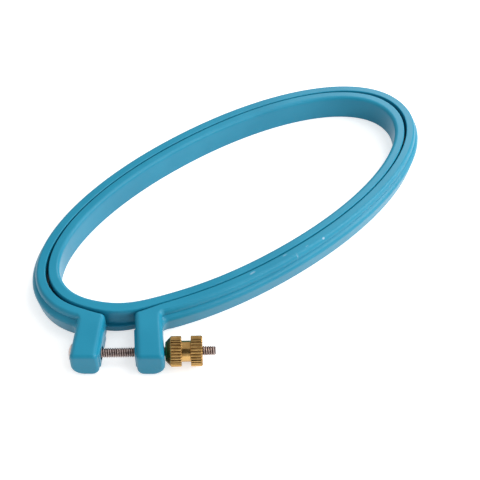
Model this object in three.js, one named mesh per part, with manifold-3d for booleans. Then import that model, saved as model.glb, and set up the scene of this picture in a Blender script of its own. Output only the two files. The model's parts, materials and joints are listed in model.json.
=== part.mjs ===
// Oval embroidery hoop: a plain inner ring, a split outer ring with two clamp lugs,
// a clamp screw through the lugs and a knurled thumb nut. Millimetres, +Z up.
// The long way of the oval lies along X. The clamp sits off the oval's axes, so its pieces are
// drawn in a frame of their own: X across the gap, -Y away from the ring, Z up.
import * as THREE from 'three';
import { mergeVertices } from 'three/addons/utils/BufferGeometryUtils.js';
import Module from 'manifold-3d';

const wasm = await Module();
wasm.setup();

// Ring sizes
const ringHeight = 11;
const ovalPower = 2.06; // 2 is an ellipse, more is squarer
const innerHalfLength = 80; // outer face of the inner ring
const innerHalfWidth = 34.75;
const innerEndWall = 4.2;
const innerSideWall = 3.45;
const endSlack = 1.2; // room between the rings at the oval's ends
const sideSlack = 0.35; // room between the rings at the oval's long sides
const edgeBreak = 0.3;
const ringSwell = 1.5; // the rings' meeting faces stand out by this much at the clamp
const holeSwell = 0.8; // and the hole's edge by this much
const swellSpan = 0.2; // how far along the ring the swell reaches, in radians of turn

// Inner ring section
const holeTopRound = 1.3; // upper edge at the hole
const rimTopWidth = 0.4; // the upper edge at the outer face is a taller round
const rimTopDrop = 1.4;
const holeEndDraft = 0.4; // the hole is this much wider at the foot, at the oval's ends
const holeSideDraft = 0.1; // and at its long sides
const footClearance = 0.2; // between the foot rim and the outer ring
const channelDepth = 0.7; // the channel round the outer face
const channelLow = 2.8;
const channelHigh = 8.3;
const topRimHeight = 9;

// Outer ring section, measured outwards from its inner face
const topWidth = 2.7;
const beadWidth = 3.7;
const beadShoulder = 1.2; // height of the bead's rounded edge
const beadHeight = 2.7; // from the top down to the step line
const ledgeDrop = 0.4;
const outerWall = 5.1;
const wallDraft = 1.05; // the wall leans in by this much at its foot

// Clamp lugs
const gapFacing = 31.7; // degrees from -Y to the ring's own outward direction at the gap
const clampAngle = 37.2; // degrees from -Y to the direction that the lugs point in
const gapHalf = 4.95; // half the gap between the lugs at the ring
const lugSplay = 4.7; // degrees that each lug leans outwards
const lugWidthRoot = 9.55;
const lugWidthEnd = 9.7;
const lugReach = 18.5; // from the outer ring's inner face to the lug's end
const lugTopRound = 1.3;
const lugBulge = 0.25; // the lug is this much narrower at its top and foot than half way up
const lugOuterFoot = 4.3; // radius of the lower edge away from the gap
const lugInnerFoot = 2.4; // radius of the lower edge at the gap
const lugEndBreak = 0.6;
const rootFillet = 3.2;
const mouthRound = 1.8; // radius where the gap opens to the inner ring
const padRaise = 0.35; // the flat pad that stands up from the lug's gap face
const padStart = 4.8; // from the outer ring's inner face
const padEndRim = 1.9; // from the pad to the lug's end
const padTop = 9.5;
const padRound = 2.6;

// Clamp screw
const screwInset = 5.65; // from the lug's end to the screw's axis
const screwTilt = 1.75; // degrees that the screw lies turned in its holes, towards the ring at the nut
const screwRadius = 1.75;
const threadPitch = 0.794;
const threadDepth = 0.42;
const screwHole = 2.45; // radius of the hole in each lug
const headRadius = 3.3;
const headHeight = 2.3;
const headCrown = 1.4; // height of the head's domed part
const headSink = 1.2; // depth of the pocket that the head sits in
const headPocketGap = 0.35;
const headSeatGap = 0.2;
const slotWidth = 1;
const slotDepth = 0.9;
const screwTail = 4.5; // thread that stands out past the nut
const screwTipChamfer = 0.4;

// Thumb nut
const nutSeatGap = 0.15;
const nutConeRadius = 3.4;
const nutConeLength = 1.85;
const knurlRadius = 5.25;
const knurlDepth = 0.35;
const knurlTeeth = 30;
const knurlLength = 3.65;
const neckRadius = 3.65;
const neckLength = 3.2;
const nutEndChamfer = 0.35;
const nutBore = 1.92;

// Mesh steps
const ringSteps = 112;
const threadSides = 12;
const roundSides = 48;
const filletSteps = 6;
const crownSteps = 4;
const leadTurns = 2; // turns of thread drawn before the thread's start, then cut away
const meetGap = 0.3; // between the two arms, opposite the clamp
const armInLug = 3; // how far an arm runs on inside its lug
const joinOverlap = 1; // how far pieces that are joined reach into each other
const cutPast = 1; // how far a cut runs on past the surface
const sameWithin = 1e-5;
const searchTurn = 0.6; // how far from the gap a place on the ring is looked for, in radians
const searchHalvings = 40;

// Worked-out sizes
const splitHalfLength = innerHalfLength + endSlack;
const splitHalfWidth = innerHalfWidth + sideSlack;
const screwHeight = ringHeight / 2;
const screwReach = lugReach - screwInset;
const screwTurn = THREE.MathUtils.degToRad(screwTilt);
const splayTan = Math.tan(THREE.MathUtils.degToRad(lugSplay));
const sideLean = splayTan + (lugWidthEnd - lugWidthRoot) / lugReach; // of a lug's outer side
const clampTurn = -THREE.MathUtils.degToRad(clampAngle);
const gapFacingTurn = -THREE.MathUtils.degToRad(gapFacing);
const gapOut = new THREE.Vector2(0, -1).rotateAround(new THREE.Vector2(), gapFacingTurn);
const ringTurn = 2 * Math.PI;
const roundMiddle = 1 - Math.SQRT1_2; // a quarter round's middle lies in by this share of its radius

// Materials
const turquoise = { color: 0x3d94b4, roughness: 0.42, metalness: 0 };
const innerPlastic = new THREE.MeshStandardMaterial(turquoise);
const leftPlastic = new THREE.MeshStandardMaterial(turquoise);
const rightPlastic = new THREE.MeshStandardMaterial(turquoise);
const brass = new THREE.MeshStandardMaterial({ color: 0xc69a55, roughness: 0.28, metalness: 1 });
const steel = new THREE.MeshStandardMaterial({ color: 0x7d7072, roughness: 0.35, metalness: 1 });

// Joining and cutting
function solidOf(geometry) {
  const bare = geometry.clone();
  bare.deleteAttribute('normal');
  bare.deleteAttribute('uv');
  const merged = mergeVertices(bare, sameWithin);
  const vertProperties = new Float32Array(merged.attributes.position.array);
  const triVerts = new Uint32Array(merged.index.array);
  return new wasm.Manifold(new wasm.Mesh({ numProp: 3, vertProperties, triVerts }));
}

function geometryOf(solid) {
  const mesh = solid.getMesh();
  const geometry = new THREE.BufferGeometry();
  geometry.setAttribute('position', new THREE.BufferAttribute(new Float32Array(mesh.vertProperties), 3));
  geometry.setIndex(new THREE.BufferAttribute(new Uint32Array(mesh.triVerts), 1));
  geometry.computeVertexNormals();
  return geometry;
}

function meshNamed(name, geometry, material) {
  const mesh = new THREE.Mesh(geometry, material);
  mesh.name = name;
  return mesh;
}

// The oval: |x/a|^n + |y/b|^n = 1, moved outwards along its normal by offset
function ovalPoint(halfLength, halfWidth, turn, offset = 0) {
  const c = Math.cos(turn);
  const s = Math.sin(turn);
  const x = Math.sign(c) * Math.abs(c) ** (2 / ovalPower);
  const y = Math.sign(s) * Math.abs(s) ** (2 / ovalPower);
  const normal = new THREE.Vector2(
    (Math.sign(x) * Math.abs(x) ** (ovalPower - 1)) / halfLength,
    (Math.sign(y) * Math.abs(y) ** (ovalPower - 1)) / halfWidth
  ).normalize();
  return new THREE.Vector2(halfLength * x, halfWidth * y).addScaledVector(normal, offset);
}

// The turn at which the oval's outward normal points along a direction
function turnFacing(halfLength, halfWidth, direction) {
  const share = 1 / (ovalPower - 1);
  const x = Math.sign(direction.x) * Math.abs(halfLength * direction.x) ** share;
  const y = Math.sign(direction.y) * Math.abs(halfWidth * direction.y) ** share;
  const c = Math.sign(x) * Math.abs(x) ** (ovalPower / 2);
  const s = Math.sign(y) * Math.abs(y) ** (ovalPower / 2);
  return Math.atan2(s, c);
}

// The turn at the middle of the gap, and the rings' faces, which swell a little there
const gapTurn = turnFacing(splitHalfLength, splitHalfWidth, gapOut) + ringTurn;

function swellAt(turn) {
  const away = Math.atan2(Math.sin(turn - gapTurn), Math.cos(turn - gapTurn));
  return Math.exp(-((away / swellSpan) ** 2));
}

// The hole's edge, draft = 0 at the top and 1 at the foot
function holeEdge(turn, offset = 0, draft = 0) {
  const halfLength = innerHalfLength - innerEndWall + draft * holeEndDraft;
  const halfWidth = innerHalfWidth - innerSideWall + draft * holeSideDraft;
  return ovalPoint(halfLength, halfWidth, turn, offset + holeSwell * swellAt(turn));
}

function innerFace(turn, offset = 0) {
  return ovalPoint(innerHalfLength, innerHalfWidth, turn, offset + ringSwell * swellAt(turn));
}

function splitFace(turn, offset = 0) {
  return ovalPoint(splitHalfLength, splitHalfWidth, turn, offset + ringSwell * swellAt(turn));
}

// The outer ring's outward edges, which don't swell
function outwardEdge(turn, offset = 0) {
  return ovalPoint(splitHalfLength, splitHalfWidth, turn, offset);
}

function atHeight(p, z) {
  return new THREE.Vector3(p.x, p.y, z);
}

// A section carried through stations; sectionAt gives one station's points, outer side going up
function sweep(sectionAt, stations, closed) {
  const rings = stations.map(sectionAt);
  const size = rings[0].length;
  const positions = rings.flat().flatMap((p) => [p.x, p.y, p.z]);
  const index = [];
  const spans = closed ? rings.length : rings.length - 1;
  for (let k = 0; k < spans; k++) {
    const here = k * size;
    const next = ((k + 1) % rings.length) * size;
    for (let i = 0; i < size; i++) {
      const j = (i + 1) % size;
      index.push(here + i, next + i, next + j, here + i, next + j, here + j);
    }
  }
  if (!closed) {
    const last = (rings.length - 1) * size;
    for (const [a, b, c] of capTriangles(rings[0])) index.push(a, b, c);
    for (const [a, b, c] of capTriangles(rings[rings.length - 1])) index.push(last + c, last + b, last + a);
  }
  const geometry = new THREE.BufferGeometry();
  geometry.setAttribute('position', new THREE.Float32BufferAttribute(positions, 3));
  geometry.setIndex(index);
  geometry.computeVertexNormals();
  return geometry;
}

// A flat outline in space, cut into triangles that keep its winding
function capTriangles(points) {
  const origin = points[0];
  let across = points[1].clone().sub(origin);
  for (const p of points) {
    const span = p.clone().sub(origin);
    if (span.lengthSq() > across.lengthSq()) across = span;
  }
  across.normalize();
  let normal = new THREE.Vector3();
  for (let i = 0; i < points.length; i++) {
    normal.add(points[i].clone().cross(points[(i + 1) % points.length]));
  }
  normal.normalize();
  const up = normal.clone().cross(across);
  const flat = points.map((p) => {
    const span = p.clone().sub(origin);
    return new THREE.Vector2(span.dot(across), span.dot(up));
  });
  return THREE.ShapeUtils.triangulateShape(flat, []);
}

function arcPoints(x, y, radius, from, to, steps = filletSteps) {
  return Array.from({ length: steps + 1 }, (unused, i) => {
    const angle = THREE.MathUtils.degToRad(from + ((to - from) * i) / steps);
    return new THREE.Vector2(x + radius * Math.cos(angle), y + radius * Math.sin(angle));
  });
}

// A round bar along X from lathe points [x, radius]
function turned(points, sides = roundSides) {
  const profile = points.map(([x, radius]) => new THREE.Vector2(radius, x));
  return new THREE.LatheGeometry(profile, sides).rotateZ(-Math.PI / 2);
}

// Inner ring: rounded upper edges, a channel round the outer face and a rim at the foot
function innerRing() {
  const round = holeTopRound;
  const rimMiddle = ringHeight - roundMiddle * rimTopDrop;
  const sectionAt = (turn) => [
    atHeight(holeEdge(turn, edgeBreak, 1), 0),
    atHeight(splitFace(turn, -footClearance - edgeBreak), 0),
    atHeight(splitFace(turn, -footClearance), edgeBreak),
    atHeight(splitFace(turn, -footClearance), channelLow),
    atHeight(innerFace(turn, -channelDepth), channelLow),
    atHeight(innerFace(turn, -channelDepth), channelHigh),
    atHeight(innerFace(turn), topRimHeight),
    atHeight(innerFace(turn), ringHeight - rimTopDrop),
    atHeight(innerFace(turn, -roundMiddle * rimTopWidth), rimMiddle),
    atHeight(innerFace(turn, -rimTopWidth), ringHeight),
    atHeight(holeEdge(turn, round), ringHeight),
    atHeight(holeEdge(turn, roundMiddle * round), ringHeight - roundMiddle * round),
    atHeight(holeEdge(turn), ringHeight - round),
    atHeight(holeEdge(turn, 0, 1), edgeBreak),
  ];
  const stations = Array.from({ length: ringSteps }, (unused, k) => (k / ringSteps) * ringTurn);
  return sweep(sectionAt, stations, true);
}

function turnsBetween(from, to) {
  const count = Math.max(1, Math.round((ringSteps * (to - from)) / ringTurn));
  return Array.from({ length: count + 1 }, (unused, k) => from + ((to - from) * k) / count);
}

// One arm of the outer ring, from one turn to another
function armSolid([from, to]) {
  const step = ringHeight - beadHeight;
  const round = beadWidth - topWidth;
  const sectionAt = (turn) => [
    atHeight(splitFace(turn, edgeBreak), 0),
    atHeight(outwardEdge(turn, outerWall - wallDraft - edgeBreak), 0),
    atHeight(outwardEdge(turn, outerWall - wallDraft), edgeBreak),
    atHeight(outwardEdge(turn, outerWall), step - 2 * ledgeDrop),
    atHeight(outwardEdge(turn, outerWall - ledgeDrop), step - ledgeDrop),
    atHeight(outwardEdge(turn, beadWidth - edgeBreak), step),
    atHeight(outwardEdge(turn, beadWidth), step + edgeBreak),
    atHeight(outwardEdge(turn, beadWidth), ringHeight - beadShoulder),
    atHeight(outwardEdge(turn, beadWidth - roundMiddle * round), ringHeight - roundMiddle * beadShoulder),
    atHeight(outwardEdge(turn, topWidth), ringHeight),
    atHeight(splitFace(turn, edgeBreak), ringHeight),
    atHeight(splitFace(turn), ringHeight - edgeBreak),
    atHeight(splitFace(turn), edgeBreak),
  ];
  return solidOf(sweep(sectionAt, turnsBetween(from, to), false));
}

// Clamp frame: its origin is the outer ring's inner face at the gap, at the hoop's foot
const gapPoint = splitFace(gapTurn);
const clampMatrix = new THREE.Matrix4().makeRotationZ(clampTurn).setPosition(gapPoint.x, gapPoint.y, 0);
const clampInverse = clampMatrix.clone().invert();

function inClampFrame(p) {
  return atHeight(p, 0).applyMatrix4(clampInverse);
}

// The turn near the gap at which a face, moved out by offset, has this X in the clamp frame
function turnAtClampX(x, face = splitFace, offset = 0) {
  let low = gapTurn - searchTurn;
  let high = gapTurn + searchTurn;
  for (let i = 0; i < searchHalvings; i++) {
    const middle = (low + high) / 2;
    if (inClampFrame(face(middle, offset)).x < x) low = middle;
    else high = middle;
  }
  return (low + high) / 2;
}

function faceY(x, face = splitFace, offset = 0) {
  return inClampFrame(face(turnAtClampX(x, face, offset), offset)).y;
}

// The arms run from inside their lug to the point opposite the gap
const armStart = gapHalf + armInLug;
const farTurn = gapTurn + Math.PI;
const farStep = 0.001;
const farSpeed = splitFace(farTurn + farStep).distanceTo(splitFace(farTurn)) / farStep;
const farGapTurn = meetGap / 2 / farSpeed;
const rightSpan = [turnAtClampX(armStart), farTurn - farGapTurn];
const leftSpan = [farTurn + farGapTurn, turnAtClampX(-armStart) + ringTurn];
const mouthSpan = [leftSpan[1], rightSpan[0] + ringTurn];

// The space inside the outer ring, from below its foot to above its top
function ringSpace() {
  const turns = [rightSpan, leftSpan, mouthSpan].flatMap((span) => turnsBetween(...span));
  const outline = turns.map((turn) => splitFace(turn));
  const depth = ringHeight + 2 * cutPast;
  const geometry = new THREE.ExtrudeGeometry(new THREE.Shape(outline), { depth, bevelEnabled: false });
  return geometry.translate(0, 0, -cutPast).applyMatrix4(clampInverse);
}

// A lug, side = 1 at the gap's +X side and -1 at the other. Shapes here are in the clamp frame.
function lugWidthAt(reach) {
  return lugWidthRoot + ((lugWidthEnd - lugWidthRoot) * Math.max(reach, 0)) / lugReach;
}

function lugFaceAt(reach) {
  return gapHalf + splayTan * Math.max(reach, 0);
}

// The lug's section across its length, gap side at x = 0
function lugSection(width) {
  const near = lugBulge;
  const far = width - lugBulge;
  const top = ringHeight - lugTopRound;
  return [
    ...arcPoints(near + lugInnerFoot, lugInnerFoot, lugInnerFoot, 180, 270),
    ...arcPoints(far - lugOuterFoot, lugOuterFoot, lugOuterFoot, 270, 360),
    new THREE.Vector2(width, screwHeight),
    ...arcPoints(far - lugTopRound, top, lugTopRound, 0, 90),
    ...arcPoints(near + lugTopRound, top, lugTopRound, 90, 180),
    new THREE.Vector2(0, screwHeight),
  ];
}

// The lug's body: sections lofted from its end to inside the ring
function lugBody(side) {
  const sectionAt = ([reach, inset]) => {
    const width = lugWidthAt(reach);
    const narrow = (width - 2 * inset) / width;
    const low = (ringHeight - 2 * inset) / ringHeight;
    const points = lugSection(width).map((p) => {
      const x = lugFaceAt(reach) + width / 2 + (p.x - width / 2) * narrow;
      const z = screwHeight + (p.y - screwHeight) * low;
      return new THREE.Vector3(side * x, -reach, z);
    });
    return side > 0 ? points : points.reverse();
  };
  const ends = [[lugReach, lugEndBreak], [lugReach - lugEndBreak, 0], [0, 0], [-outerWall, 0]];
  return sweep(sectionAt, ends, false);
}

// A plan outline on the +X side of the gap, raised between two heights
function planBlock(side, outline, low, high) {
  const points = outline.getPoints(filletSteps).map((p) => new THREE.Vector2(side * p.x, p.y));
  const shape = new THREE.Shape(points);
  const geometry = new THREE.ExtrudeGeometry(shape, { depth: high - low, bevelEnabled: false });
  return geometry.translate(0, 0, low);
}

// Concave fillet between the lug's outer side and the ring's outer wall
function rootFilletBlock(side) {
  const x = gapHalf + lugWidthRoot - lugBulge + splayTan * outerWall;
  const wall = outerWall - wallDraft;
  const cornerY = faceY(side * x, outwardEdge, wall);
  const wallY = faceY(side * (x + rootFillet), outwardEdge, wall);
  const overlap = joinOverlap;
  const outline = new THREE.Shape();
  outline.moveTo(x - overlap, cornerY + overlap);
  outline.lineTo(x - overlap, cornerY - rootFillet);
  outline.lineTo(x + splayTan * rootFillet, cornerY - rootFillet);
  outline.quadraticCurveTo(x, cornerY, x + rootFillet, wallY);
  outline.lineTo(x + rootFillet, wallY + overlap);
  return planBlock(side, outline, lugOuterFoot / 2, ringHeight - beadHeight - ledgeDrop);
}

// Rounds the edge where the gap meets the space inside the ring
function mouthCutter(side) {
  const inner = faceY(side * (gapHalf + mouthRound));
  const outline = new THREE.Shape();
  outline.moveTo(gapHalf - mouthRound, inner - mouthRound);
  outline.lineTo(gapHalf, inner - mouthRound);
  outline.absarc(gapHalf + mouthRound, inner - mouthRound, mouthRound, Math.PI, Math.PI / 2, true);
  outline.lineTo(gapHalf + mouthRound, inner + mouthRound);
  outline.lineTo(gapHalf - mouthRound, inner + mouthRound);
  return planBlock(side, outline, -cutPast, ringHeight + cutPast);
}

// The raised pad on the lug's gap face, round at its upper corner near the ring
function padBlock(side) {
  const end = lugReach - padEndRim;
  const shape = new THREE.Shape();
  shape.moveTo(-end, lugInnerFoot);
  shape.lineTo(-padStart, lugInnerFoot);
  shape.lineTo(-padStart, padTop - padRound);
  shape.absarc(-padStart - padRound, padTop - padRound, padRound, 0, Math.PI / 2, false);
  shape.lineTo(-end, padTop);
  const options = { depth: padRaise + joinOverlap, bevelEnabled: false, curveSegments: filletSteps };
  const geometry = new THREE.ExtrudeGeometry(shape, options);
  const axes = new THREE.Matrix4().makeBasis(
    new THREE.Vector3(0, 1, 0),
    new THREE.Vector3(0, 0, 1),
    new THREE.Vector3(1, 0, 0)
  );
  geometry.applyMatrix4(axes).translate(side > 0 ? -padRaise : -joinOverlap, 0, 0);
  return geometry.rotateZ(side * Math.atan(splayTan)).translate(side * gapHalf, 0, 0);
}

// A cut on the screw's axis, between two distances from the middle of the gap
function screwHoleCutter(side, from, to, radius) {
  const bar = turned([[from, 0], [from, radius], [to, radius], [to, 0]], roundSides / 2);
  if (side < 0) bar.rotateZ(Math.PI);
  return bar.rotateZ(screwTurn).translate(0, -screwReach, screwHeight);
}

// How far along the screw a lug's outer side lies
function sideAlongScrew(side) {
  const across = gapHalf + lugWidthRoot + sideLean * screwReach;
  return across / (Math.cos(screwTurn) + side * sideLean * Math.sin(screwTurn));
}

const pocketFloor = sideAlongScrew(-1) - headSink;

function outerArm(side, span) {
  const arm = armSolid(span);
  const cuts = [
    ringSpace(),
    mouthCutter(side),
    screwHoleCutter(side, 0, sideAlongScrew(side) + cutPast, screwHole),
  ];
  if (side < 0) {
    cuts.push(screwHoleCutter(side, pocketFloor, sideAlongScrew(side) + cutPast, headRadius + headPocketGap));
  }
  let lug = solidOf(lugBody(side)).add(solidOf(rootFilletBlock(side))).add(solidOf(padBlock(side)));
  for (const cut of cuts) lug = lug.subtract(solidOf(cut));
  const placed = solidOf(geometryOf(lug).applyMatrix4(clampMatrix));
  return geometryOf(arm.add(placed));
}

// A screw thread along +X from 0: rows of points follow the helix, crest and root by turns
function threadBar(length) {
  const rows = Math.ceil((2 * length) / threadPitch) + 2 * leadTurns;
  const positions = [];
  const index = [];
  const starts = [];
  for (let i = 0; i < threadSides; i++) {
    const turn = (i / threadSides) * 2 * Math.PI;
    const count = i === 0 ? rows + 3 : rows + 1;
    starts.push(positions.length / 3);
    for (let j = 0; j < count; j++) {
      const radius = j % 2 === 0 ? screwRadius : screwRadius - threadDepth;
      const x = threadPitch * (j / 2 + i / threadSides - leadTurns);
      positions.push(x, radius * Math.cos(turn), radius * Math.sin(turn));
    }
  }
  const at = (j, i) => (i < threadSides ? starts[i] + j : starts[0] + j + 2);
  for (let i = 0; i < threadSides; i++) {
    for (let j = 0; j < rows; j++) {
      index.push(at(j, i), at(j, i + 1), at(j + 1, i + 1), at(j, i), at(j + 1, i + 1), at(j + 1, i));
    }
  }
  const low = [];
  const high = [];
  for (let i = 0; i <= threadSides; i++) {
    low.push(at(0, i));
    high.push(at(rows, i));
  }
  low.push(starts[0] + 1);
  high.push(starts[0] + rows + 1);
  const lowMiddle = positions.length / 3;
  positions.push(-leadTurns * threadPitch, 0, 0, threadPitch * (rows / 2 + 0.5 - leadTurns), 0, 0);
  for (let k = 0; k < low.length; k++) {
    const next = (k + 1) % low.length;
    index.push(lowMiddle, low[next], low[k], lowMiddle + 1, high[k], high[next]);
  }
  const geometry = new THREE.BufferGeometry();
  geometry.setAttribute('position', new THREE.Float32BufferAttribute(positions, 3));
  geometry.setIndex(index);
  return geometry;
}

// Lengths along the screw, from the middle of the gap
const nutLean = Math.abs(sideLean - Math.tan(screwTurn)) * nutConeRadius;
const nutStart = sideAlongScrew(1) + nutLean + nutSeatGap;
const nutLength = nutConeLength + 2 * knurlLength + neckLength + nutEndChamfer;
const headSeat = -(pocketFloor + headSeatGap);
const screwEnd = nutStart + nutLength + screwTail;

// Clamp screw: pan head with a driver's slot, thread from the head to the tip
function clampScrew() {
  const top = headSeat - headHeight;
  const dome = Array.from({ length: crownSteps + 1 }, (unused, i) => {
    const angle = (i / crownSteps) * (Math.PI / 2);
    return [top + headCrown * (1 - Math.cos(angle)), headRadius * Math.sin(angle)];
  });
  const head = turned([...dome, [headSeat, headRadius], [headSeat, 0]]);
  const length = screwEnd - headSeat;
  const tip = screwRadius - screwTipChamfer;
  const envelope = turned([
    [headSeat - threadPitch, 0],
    [headSeat - threadPitch, screwRadius],
    [screwEnd - screwTipChamfer, screwRadius],
    [screwEnd, tip],
    [screwEnd, 0],
  ], 2 * threadSides);
  const slotLength = 2 * (headRadius + cutPast);
  const slot = new THREE.BoxGeometry(2 * slotDepth, slotLength, slotWidth).translate(top, 0, 0);
  const thread = solidOf(threadBar(length + threadPitch).translate(headSeat, 0, 0));
  return geometryOf(thread.intersect(solidOf(envelope)).add(solidOf(head)).subtract(solidOf(slot)));
}

// Straight knurl: a toothed bar between two places along the screw
function knurlBar(from, to) {
  const points = Array.from({ length: 2 * knurlTeeth }, (unused, i) => {
    const radius = i % 2 === 0 ? knurlRadius : knurlRadius - knurlDepth;
    const angle = (i * Math.PI) / knurlTeeth;
    return new THREE.Vector2(radius * Math.cos(angle), radius * Math.sin(angle));
  });
  const options = { depth: to - from, bevelEnabled: false };
  const bar = new THREE.ExtrudeGeometry(new THREE.Shape(points), options);
  return bar.rotateY(Math.PI / 2).translate(from, 0, 0);
}

// Thumb nut: seat cone, two knurled bands and a smooth neck, with the screw's bore through it
function thumbNut() {
  const cone = nutConeLength;
  const neckFrom = cone + knurlLength;
  const neckTo = neckFrom + neckLength;
  const end = nutLength;
  const envelope = turned([
    [0, 0],
    [0, nutConeRadius],
    [cone, knurlRadius],
    [end - nutEndChamfer, knurlRadius],
    [end, knurlRadius - nutEndChamfer],
    [end, 0],
  ], 2 * knurlTeeth);
  const neck = turned([
    [neckFrom - joinOverlap, 0],
    [neckFrom - joinOverlap, neckRadius],
    [neckTo + joinOverlap, neckRadius],
    [neckTo + joinOverlap, 0],
  ]);
  const past = end + cutPast;
  const bore = turned([[-cutPast, 0], [-cutPast, nutBore], [past, nutBore], [past, 0]], roundSides / 2);
  const knurls = solidOf(knurlBar(-cutPast, neckFrom)).add(solidOf(knurlBar(neckTo, past)));
  const body = knurls.intersect(solidOf(envelope)).add(solidOf(neck)).subtract(solidOf(bore));
  return geometryOf(body);
}

// Assembly
const innerMesh = meshNamed('inner_ring', innerRing(), innerPlastic);
const leftMesh = meshNamed('outer_ring_left', outerArm(-1, leftSpan), leftPlastic);
const rightMesh = meshNamed('outer_ring_right', outerArm(1, rightSpan), rightPlastic);

const screwMesh = meshNamed('clamp_screw', clampScrew(), steel);
const nutMesh = meshNamed('thumb_nut', thumbNut(), brass);
nutMesh.position.x = nutStart;

const screwLine = new THREE.Group();
screwLine.position.set(0, -screwReach, screwHeight);
screwLine.rotation.z = screwTurn;
screwLine.add(screwMesh, nutMesh);

const clamp = new THREE.Group();
clamp.position.set(gapPoint.x, gapPoint.y, 0);
clamp.rotation.z = clampTurn;
clamp.add(screwLine);

// The frame's origin is the middle of the footprint, at the hoop's foot
const hoop = new THREE.Group();
hoop.add(innerMesh, leftMesh, rightMesh, clamp);
const bounds = new THREE.Box3().setFromObject(hoop, true);
const middle = bounds.getCenter(new THREE.Vector3());
hoop.position.set(-middle.x, -middle.y, -bounds.min.z);

const part = new THREE.Group();
part.add(hoop);
export default part;
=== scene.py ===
import json
from math import cos, pi, radians, sin, tan

import bpy
import numpy as np
from mathutils import Matrix, Vector


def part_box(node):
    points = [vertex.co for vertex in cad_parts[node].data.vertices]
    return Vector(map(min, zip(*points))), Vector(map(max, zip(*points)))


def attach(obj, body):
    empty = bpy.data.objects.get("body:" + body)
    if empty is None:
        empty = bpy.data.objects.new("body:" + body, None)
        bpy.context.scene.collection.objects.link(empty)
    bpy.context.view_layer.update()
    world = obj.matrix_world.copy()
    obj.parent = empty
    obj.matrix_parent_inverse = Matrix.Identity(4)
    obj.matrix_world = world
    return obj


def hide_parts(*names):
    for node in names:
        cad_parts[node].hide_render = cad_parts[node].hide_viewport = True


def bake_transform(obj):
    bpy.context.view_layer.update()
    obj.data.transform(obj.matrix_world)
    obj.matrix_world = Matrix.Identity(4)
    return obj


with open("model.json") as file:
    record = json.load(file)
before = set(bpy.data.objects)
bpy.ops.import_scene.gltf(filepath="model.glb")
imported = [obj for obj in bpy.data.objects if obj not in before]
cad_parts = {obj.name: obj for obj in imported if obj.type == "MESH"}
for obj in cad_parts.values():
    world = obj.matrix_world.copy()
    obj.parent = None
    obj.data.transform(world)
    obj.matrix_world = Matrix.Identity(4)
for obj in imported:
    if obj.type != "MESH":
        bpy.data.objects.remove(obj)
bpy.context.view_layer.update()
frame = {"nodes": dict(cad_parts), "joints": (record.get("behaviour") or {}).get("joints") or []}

# Oval embroidery hoop. Sizes are in millimetres until a mesh is made, and colours are sRGB.
# Near the clamp, points are worked out in the clamp's own frame: X across the gap towards the
# nut, -Y the way that the lugs point, Z up, from the split ring's inner face at the gap.
metresPerMm = 0.001
fullTurn = 2 * pi
smoothAngle = 38  # degrees: an edge that turns more than this stays sharp


# Small helpers

def spread(start, stop, count, leaveLast=False):
    return np.linspace(start, stop, count, endpoint=not leaveLast)


def ease(values):
    # 3t^2 - 2t^3 on values held between 0 and 1
    held = np.clip(values, 0, 1)
    return held * held * (3 - 2 * held)


def linearColour(red, green, blue):
    # sRGB from 0 to 255 turned to linear light
    share = np.array([red, green, blue]) / 255
    light = np.where(share <= 0.04045, share / 12.92, ((share + 0.055) / 1.055) ** 2.4)
    return (*light, 1.0)


def gridFaces(rows, columns, rowsClosed=False):
    # a quad joins points (i, j), (i, j+1), (i+1, j+1) and (i+1, j); the columns always close
    spans = rows if rowsClosed else rows - 1
    i, j = np.meshgrid(np.arange(spans), np.arange(columns), indexing="ij")
    row = i * columns
    nextRow = (i + 1) % rows * columns
    nextColumn = (j + 1) % columns
    corners = [row + j, row + nextColumn, nextRow + nextColumn, nextRow + j]
    return np.stack(corners, axis=-1).reshape(-1, 4)


def insideVolume(points, faces):
    # the sum of the tetrahedra that the faces make with the origin, below 0 for an inside-out skin
    a, b, c, d = (points[faces[:, k]] for k in range(4))
    triple = np.einsum("ij,ij->i", a, np.cross(b, c)) + np.einsum("ij,ij->i", a, np.cross(c, d))
    return triple.sum() / 6


def meshFromGrid(name, grid, rowsClosed=False, firstEnd="none", lastEnd="none", sharpAngle=smoothAngle):
    # a grid of rows made a closed skin with its faces outwards: an open end gets one flat face, or a
    # fan round its middle point
    rows, columns = grid.shape[:2]
    points = grid.reshape(-1, 3)
    quads = gridFaces(rows, columns, rowsClosed)
    turnedOver = insideVolume(points, quads) < 0
    if turnedOver:
        quads = quads[:, ::-1]
    faces = quads.tolist()
    extra = []
    for end, row, outward in ((firstEnd, 0, turnedOver), (lastEnd, rows - 1, not turnedOver)):
        rim = np.arange(row * columns, (row + 1) * columns)
        rim = rim if outward else rim[::-1]
        if end == "flat":
            faces.append(rim.tolist())
        if end == "fan":
            middle = rows * columns + len(extra)
            extra.append(points[rim].mean(axis=0))
            faces += np.stack([rim, np.roll(rim, -1), np.full(columns, middle)], axis=-1).tolist()
    if extra:
        points = np.vstack([points, extra])
    mesh = bpy.data.meshes.new(name)
    mesh.from_pydata((points * metresPerMm).tolist(), [], faces)
    mesh.update()
    mesh.validate()
    mesh.shade_smooth()
    mesh.set_sharp_from_angle(angle=radians(sharpAngle))
    piece = bpy.data.objects.new(name, mesh)
    bpy.context.scene.collection.objects.link(piece)
    return piece


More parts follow.
